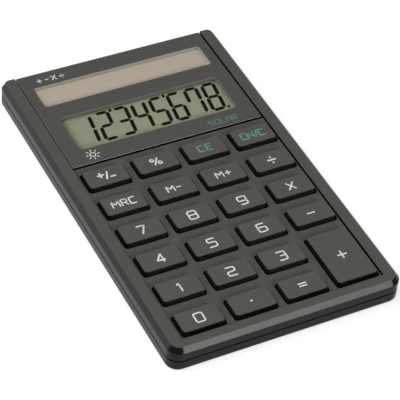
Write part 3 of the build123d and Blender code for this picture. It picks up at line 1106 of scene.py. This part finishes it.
@dataclass
class Keypad:
    """The keys and what is printed on them."""

    figure_height: float = 3.0 * MM
    word_height: float = 2.35 * MM
    operator_height: float = 2.7 * MM
    stroke_width: float = 0.46 * MM
    fine_width: float = 0.391 * MM
    bold_width: float = 0.54 * MM
    point_width: float = 0.55 * MM
    round_figures: str = "0235689"
    round_corner: float = 0.45 * MM  # of those figures
    sharp_corner: float = 0.1 * MM  # of everything else

    def legends(self) -> dict[str, tuple[Lettering, Ink, float]]:
        """What each key shows.

        Returns:
            Lettering, ink and stroke width by key.
        """
        figure, word, sign = self.figure_height, self.word_height, self.operator_height
        plain, bold, fine = self.stroke_width, self.bold_width, self.fine_width
        table = {f"key_{n}": (Lettering((str(n),), figure), Ink.LIGHT, plain) for n in range(10)}
        signed = Lettering(
            ("plus", "/", "minus"), word * 1.1, 0.06, rise=(0.22, 0.0, -0.3), shares=(0.9, 1.0, 1.0)
        )
        table |= {
            "key_point": (Lettering(("point",), figure), Ink.LIGHT, self.point_width),
            "key_equals": (Lettering(("equals",), sign), Ink.LIGHT, plain),
            "key_plus": (Lettering(("plus",), sign * 1.2), Ink.LIGHT, plain),
            "key_minus": (Lettering(("minus",), sign * 1.45), Ink.LIGHT, plain),
            "key_multiply": (Lettering(("times",), sign), Ink.LIGHT, plain),
            "key_divide": (Lettering(("divide",), sign * 1.15), Ink.LIGHT, bold),
            "key_mrc": (Lettering(("M", "R", "C"), word), Ink.LIGHT, fine),
            "key_m_minus": (Lettering(("M", "minus"), word), Ink.LIGHT, fine),
            "key_m_plus": (Lettering(("M", "plus"), word, shares=(1.0, 0.85)), Ink.LIGHT, fine),
            "key_ce": (Lettering(("C", "E"), word), Ink.GREEN, plain),
            "key_on_c": (Lettering(("O", "N", "/", "C"), word, gap=0.14), Ink.GREEN, plain),
            "key_percent": (Lettering(("percent",), word * 1.15), Ink.LIGHT, plain),
            "key_sign": (signed, Ink.LIGHT, bold),
        }
        return table

    def build(self, finishes: FinishBook, printer: StrokePrinter) -> None:
        """Dresses every key and prints its legend.

        Args:
            finishes: Materials by name.
            printer: Prints strokes.
        """
        for node, (lettering, ink, width) in self.legends().items():
            finishes.dress(frame["nodes"][node], "key_plastic")
            low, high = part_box(node)
            middle = (low + high) / 2
            label = node.removeprefix("key_")
            corner = self.round_corner if label in self.round_figures else self.sharp_corner
            strokes = lettering.strokes(middle.x, middle.y)
            piece = printer.print(
                "legend_" + label, strokes, high.z, width, corner, ink, node + "_cap"
            )
            LOG.info("printed %s", piece.name)


SEGMENTS = {
    "1": "bc",
    "2": "abged",
    "3": "abgcd",
    "4": "fgbc",
    "5": "afgcd",
    "6": "afgedc",
    "7": "fabc",
    "8": "abcdefg",
}


@dataclass
class Digits:
    """Seven-segment figures of the display, as slightly raised plates.

    Each figure is drawn in a box of digit width and height, measured to the segments' centre lines.
    """

    shown: str = "12345678"
    marks_after: tuple[int, ...] = (1, 4)
    mark_rise: float = 0.1 * MM  # over the figures' tops
    mark_half: Point = (0.5 * MM, 0.75 * MM)
    point_after: int = 7
    point_step: float = 1.2 * MM  # to the right of the last figure
    point_drop: float = 0.05 * MM  # under the figures' feet
    point_half: Point = (0.55 * MM, 0.5 * MM)
    pitch: float = 5.6 * MM
    width: float = 3.55 * MM
    height: float = 10.8 * MM
    thickness: float = 1.13 * MM
    gap: float = 0.08 * MM
    slant: float = 0.125
    plate: float = 0.02 * MM

    def segment(self, letter: str) -> list[Point]:
        """Outline of one segment, with bevelled ends, about the figure's middle.

        Args:
            letter: One of a to g, in the usual order.

        Returns:
            Corner points.
        """
        half_w, half_h, t = self.width / 2, self.height / 2, self.thickness / 2
        level = {"a": half_h, "g": 0.0, "d": -half_h}
        if letter in level:
            y = level[letter]
            reach = half_w - self.gap
            inner = reach - t
            lower = [(-reach, y), (-inner, y - t), (inner, y - t)]
            return [*lower, (reach, y), (inner, y + t), (-inner, y + t)]
        side = -half_w if letter in "ef" else half_w
        upper = letter in "bf"
        start, end = (self.gap, half_h - self.gap) if upper else (self.gap - half_h, -self.gap)
        right = [(side, start), (side + t, start + t), (side + t, end - t)]
        return [*right, (side, end), (side - t, end - t), (side - t, start + t)]

    def outlines(self, left: float, middle_y: float) -> list[list[Point]]:
        """Outlines of every lit segment, mark and point.

        Args:
            left: X of the first figure's middle.
            middle_y: Y of the figures' middle.

        Returns:
            Closed outlines in metres.
        """
        found: list[list[Point]] = []
        for place, figure in enumerate(self.shown):
            x = left + place * self.pitch
            shapes = [self.segment(letter) for letter in SEGMENTS[figure]]
            if place in self.marks_after:
                high = self.height / 2 + self.mark_rise
                shapes.append(self.mark(self.pitch / 2, high, *self.mark_half))
            if place == self.point_after:
                right, low = self.width / 2 + self.point_step, -self.height / 2 - self.point_drop
                shapes.append(self.mark(right, low, *self.point_half))
            found += [
                [(x + px + self.slant * py, middle_y + py) for px, py in shape] for shape in shapes
            ]
        return found

    @staticmethod
    def mark(x: float, y: float, half_width: float, half_height: float) -> list[Point]:
        """A six-sided mark."""
        turns = [math.pi * (i + 0.5) / 3 for i in range(6)]
        return [(x + half_width * math.cos(t), y + half_height * math.sin(t)) for t in turns]

    def build(self, finishes: FinishBook, left: float, middle_y: float, surface: float) -> Piece:
        """Makes the digits lie on the display.

        Args:
            finishes: Materials by name.
            left: X of the first figure's middle.
            middle_y: Y of the figures' middle.
            surface: Height of the display's front film.

        Returns:
            The digits as one piece.
        """
        outlines = self.outlines(left, middle_y)
        piece = plates("display_digits", outlines, surface - self.plate / 2, self.plate)
        finishes.dress(piece, Ink.DISPLAY.value)
        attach(piece, CASE_BODY)
        return piece


def plates(
    name: str, outlines: Sequence[Sequence[Point]], low: float, thickness: float
) -> Piece:
    """Flat plates of one thickness as a single piece.

    Args:
        name: Name of the piece.
        outlines: Closed outlines, in metres, in either direction.
        low: Height of the lower face.
        thickness: Thickness of the plates.

    Returns:
        The piece, with its faces outward.
    """
    points, faces = [], []
    for outline in outlines:
        pairs = zip(outline, [*outline[1:], outline[0]])
        area = sum(x1 * y2 - x2 * y1 for (x1, y1), (x2, y2) in pairs)
        loop = list(outline) if area > 0 else list(reversed(outline))
        first, count = len(points), len(loop)
        points += [(x, y, low) for x, y in loop] + [(x, y, low + thickness) for x, y in loop]
        faces.append([first + i for i in reversed(range(count))])
        faces.append([first + count + i for i in range(count)])
        for i in range(count):
            after = (i + 1) % count
            faces.append([first + i, first + after, first + count + after, first + count + i])
    mesh = bpy.data.meshes.new(name)
    mesh.from_pydata(points, [], faces)
    return placed(name, mesh)


@dataclass
class DisplayEnd:
    """Panel, windows, digits, solar strip and the small printed signs."""

    digits: Digits = field(default_factory=Digits)
    digits_from_right: float = 3.6 * MM  # last figure's middle to the window's right edge
    digits_rise: float = 1.0 * MM  # over the window's middle
    sign_stroke: float = 0.3 * MM
    word_stroke: float = 0.22 * MM
    sign_corner: float = 0.12 * MM

    def build(self, finishes: FinishBook, printer: StrokePrinter, levels: Levels) -> None:
        """Dresses the display end and adds its print.

        Args:
            finishes: Materials by name.
            printer: Prints strokes.
            levels: Heights and windows of the CAD.
        """
        slots = {
            "display_panel": "panel_plastic",
            "solar_cell": "solar_glass",
            "display_lens": "clear_lens",
            "lcd_front_polariser": "polariser",
        }
        for node, finish in slots.items():
            finishes.dress(frame["nodes"][node], finish)
        film_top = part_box("lcd_front_polariser")[1].z
        last = levels.lcd_half - self.digits_from_right
        first = last - (len(self.digits.shown) - 1) * self.digits.pitch
        middle = levels.lcd_middle + self.digits_rise
        self.digits.build(finishes, first, middle, film_top)
        self.print_signs(printer)
        LOG.info("built the display end")

    def print_signs(self, printer: StrokePrinter) -> None:
        """Prints the generic signs at the panel's corners.

        Args:
            printer: Prints strokes.
        """
        low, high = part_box("display_panel")
        operators = Lettering(("plus", "minus", "times", "divide"), 1.9 * MM, 0.45)
        word = Lettering(("S", "O", "L", "A", "R"), 1.85 * MM, 0.3)
        sun = Lettering(("sun",), 4.0 * MM)
        signs = {
            "operator_signs": (operators, (low.x + 9.3 * MM, high.y - 3.3 * MM), Ink.LIGHT),
            "sun_sign": (sun, (low.x + 7.3 * MM, low.y + 3.1 * MM), Ink.LIGHT),
            "solar_word": (word, (high.x - 11.1 * MM, low.y + 2.4 * MM), Ink.GREEN),
        }
        for name, (lettering, (x, y), ink) in signs.items():
            width = self.word_stroke if ink is Ink.GREEN else self.sign_stroke
            strokes = lettering.strokes(x, y)
            piece = printer.print(name, strokes, high.z, width, self.sign_corner, ink, CASE_BODY)


@dataclass
class Mat:
    """The rubber mat: its sheet, and a dome under each key."""

    node: str = "key_mat"
    finish: str = "mat_rubber"
    sheet: float = 0.52 * MM  # from the mat's underside to the foot of the domes
    travel: float = 0.8 * MM  # of a key

    def build(self, finishes: FinishBook) -> None:
        """Splits the mat at the foot of its domes.

        Args:
            finishes: Materials by name.
        """
        low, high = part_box(self.node)
        foot = low.z + self.sheet
        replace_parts(self.piece("mat_sheet", self.cut(foot, above=False), finishes), self.node)
        domes = self.cut(foot, above=True)
        nodes = [row["node"] for row in frame["record"]["subparts"]]
        for key in (node for node in nodes if node.startswith("key_") and node != self.node):
            key_low, key_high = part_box(key)
            middle, half = (key_low + key_high) / 2, (key_high - key_low) / 2
            dome = domes.copy()
            far = [
                v
                for v in dome.verts
                if abs(v.co.x - middle.x) > half.x or abs(v.co.y - middle.y) > half.y
            ]
            bmesh.ops.delete(dome, geom=far, context="VERTS")
            piece = self.piece(f"mat_dome_{key.removeprefix('key_')}", dome, finishes)
            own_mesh(piece)
        domes.free()
        LOG.info("built the mat")

    def cut(self, height: float, above: bool) -> bmesh.types.BMesh:
        """The closed part of the mat on one side of a level.

        Args:
            height: Height of the level.
            above: Whether the part above it is kept.

        Returns:
            The part's mesh.
        """
        source = frame["nodes"][self.node]
        mesh = bmesh.new()
        mesh.from_mesh(source.data)
        mesh.transform(source.matrix_world)
        bmesh.ops.remove_doubles(mesh, verts=mesh.verts, dist=1e-7)
        found = bmesh.ops.bisect_plane(
            mesh,
            geom=[*mesh.verts, *mesh.edges, *mesh.faces],
            plane_co=(0, 0, height),
            plane_no=(0, 0, 1),
            clear_inner=above,
            clear_outer=not above,
        )
        rim = [item for item in found["geom_cut"] if isinstance(item, bmesh.types.BMEdge)]
        bmesh.ops.triangle_fill(mesh, use_beauty=True, use_dissolve=False, edges=rim)
        bmesh.ops.recalc_face_normals(mesh, faces=mesh.faces)
        return mesh

    def piece(self, name: str, shape: bmesh.types.BMesh, finishes: FinishBook) -> Piece:
        """Turns a part of the mat into a piece of the case.

        Args:
            name: Name of the piece.
            shape: Its mesh, which is freed.
            finishes: Materials by name.

        Returns:
            The piece.
        """
        data = bpy.data.meshes.new(name)
        shape.to_mesh(data)
        shape.free()
        piece = placed(name, data)
        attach(piece, CASE_BODY)
        finishes.dress(piece, self.finish)
        return piece


@dataclass
class Inside:
    """Parts that the shells hide, each with the finish of its record slot."""

    shown_elsewhere: tuple[str, ...] = (
        "upper_case",
        "lower_case",
        "display_panel",
        "solar_cell",
        "display_lens",
        "lcd_front_polariser",
    )

    def dress(self, finishes: FinishBook) -> None:
        """Gives every remaining CAD node its finish.

        Args:
            finishes: Materials by name.
        """
        for row in frame["record"]["subparts"]:
            node = row["node"]
            if node in self.shown_elsewhere or node.startswith("key_"):
                continue
            finishes.dress(frame["nodes"][node], row["material_slot"])
            LOG.info("dressed %s", node)


# ------------------------------------------------------------------ studio


@dataclass(frozen=True)
class SoftLight:
    """A rectangular studio light aimed at the object."""

    name: str
    azimuth: float  # as in towards
    elevation: float
    width: float
    height: float
    power: float
    distance: float = 0.9
    colour: Colour = (1.0, 1.0, 1.0)

    def build(self, target: Vector) -> None:
        """Places the light round a target.

        Args:
            target: Point that the light is aimed at.
        """
        data = bpy.data.lights.new(self.name, "AREA")
        data.shape = "RECTANGLE"
        data.size, data.size_y = self.width, self.height
        data.energy = self.power
        data.color = self.colour
        lamp = placed(self.name, data)
        back = towards(self.azimuth, self.elevation)
        lamp.location = target + back * self.distance
        lamp.rotation_euler = (-back).to_track_quat("-Z", "Y").to_euler()


@dataclass
class Studio:
    """Floor, soft lights, even surroundings and the camera."""

    floor_half: float = 3.0
    floor_colour: Colour = (0.40, 0.40, 0.399)
    floor_glow: float = 0.63  # keeps the shadows on the floor faint
    surroundings: float = 0.14
    azimuth: float = -30.60
    elevation: float = 43.58
    roll: float = 5.86
    distance: float = 0.5425
    aim: tuple[float, float, float] = (-0.00082, -0.00570, 0.0044)
    lens: float = 179.1
    lights: tuple[SoftLight, ...] = (
        SoftLight("main_light", -98.0, 56.0, width=0.9, height=0.8, power=9.3),
        SoftLight("rear_left_card", -129.5, 12.0, width=0.9, height=0.36, power=2.9),
        SoftLight("bevel_light", 24.3, 26.4, width=0.44, height=0.22, power=5.8),
    )

    def build(self) -> None:
        """Makes the whole studio."""
        self.make_floor()
        self.make_surroundings()
        for light in self.lights:
            light.build(Vector(self.aim))
        self.make_camera()
        LOG.info("built the studio")

    def make_floor(self) -> None:
        """A pale level floor under the object."""
        h = self.floor_half
        mesh = bpy.data.meshes.new("floor")
        mesh.from_pydata([(-h, -h, 0), (h, -h, 0), (h, h, 0), (-h, h, 0)], [], [(0, 1, 2, 3)])
        floor = placed("floor", mesh)
        material = bpy.data.materials.new("floor")
        material.use_nodes = True
        shader = material.node_tree.nodes["Principled BSDF"]
        shader.inputs["Base Color"].default_value = (*self.floor_colour, 1.0)
        shader.inputs["Roughness"].default_value = 0.9
        shader.inputs["Specular IOR Level"].default_value = 0.1
        shader.inputs["Emission Color"].default_value = (1.0, 1.0, 1.0, 1.0)
        shader.inputs["Emission Strength"].default_value = self.floor_glow
        mesh.materials.append(material)

    def make_surroundings(self) -> None:
        """Even pale light from all round."""
        world = bpy.data.worlds.new("surroundings")
        bpy.context.scene.world = world
        world.use_nodes = True
        background = world.node_tree.nodes["Background"]
        background.inputs["Color"].default_value = (1.0, 1.0, 1.0, 1.0)
        background.inputs["Strength"].default_value = self.surroundings

    def make_camera(self) -> None:
        """The camera at its viewing angle, with its slight roll."""
        data = bpy.data.cameras.new("camera")
        data.lens = self.lens
        data.sensor_width = 36.0
        data.clip_start, data.clip_end = 0.01, 20.0
        camera = placed("camera", data)
        back = towards(self.azimuth, self.elevation)
        upright = (-back).to_track_quat("-Z", "Y").to_matrix()
        turned = upright @ Matrix.Rotation(math.radians(self.roll), 3, "Z")
        place = Matrix.Translation(Vector(self.aim) + back * self.distance)
        camera.matrix_world = place @ turned.to_4x4()
        bpy.context.scene.camera = camera
        bpy.context.scene.view_settings.view_transform = "Standard"


def corners(box: tuple[Vector, Vector]) -> list[list[float]]:
    """A box's two corners as plain lists."""
    return [list(corner) for corner in box]


def main() -> None:
    """Builds the calculator's looks and its studio."""
    logging.basicConfig(level=logging.INFO, format="%(name)s: %(message)s")
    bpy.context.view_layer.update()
    effects = Effects.build()
    levels = Levels.read()
    finishes = FinishBook.build(effects, levels)
    printer = StrokePrinter(finishes)
    Studio().build()
    Shells().dress(finishes)
    Inside().dress(finishes)
    Mat().build(finishes)
    Keypad().build(finishes, printer)
    DisplayEnd().build(finishes, printer, levels)


if __name__ == "__main__":
    main()
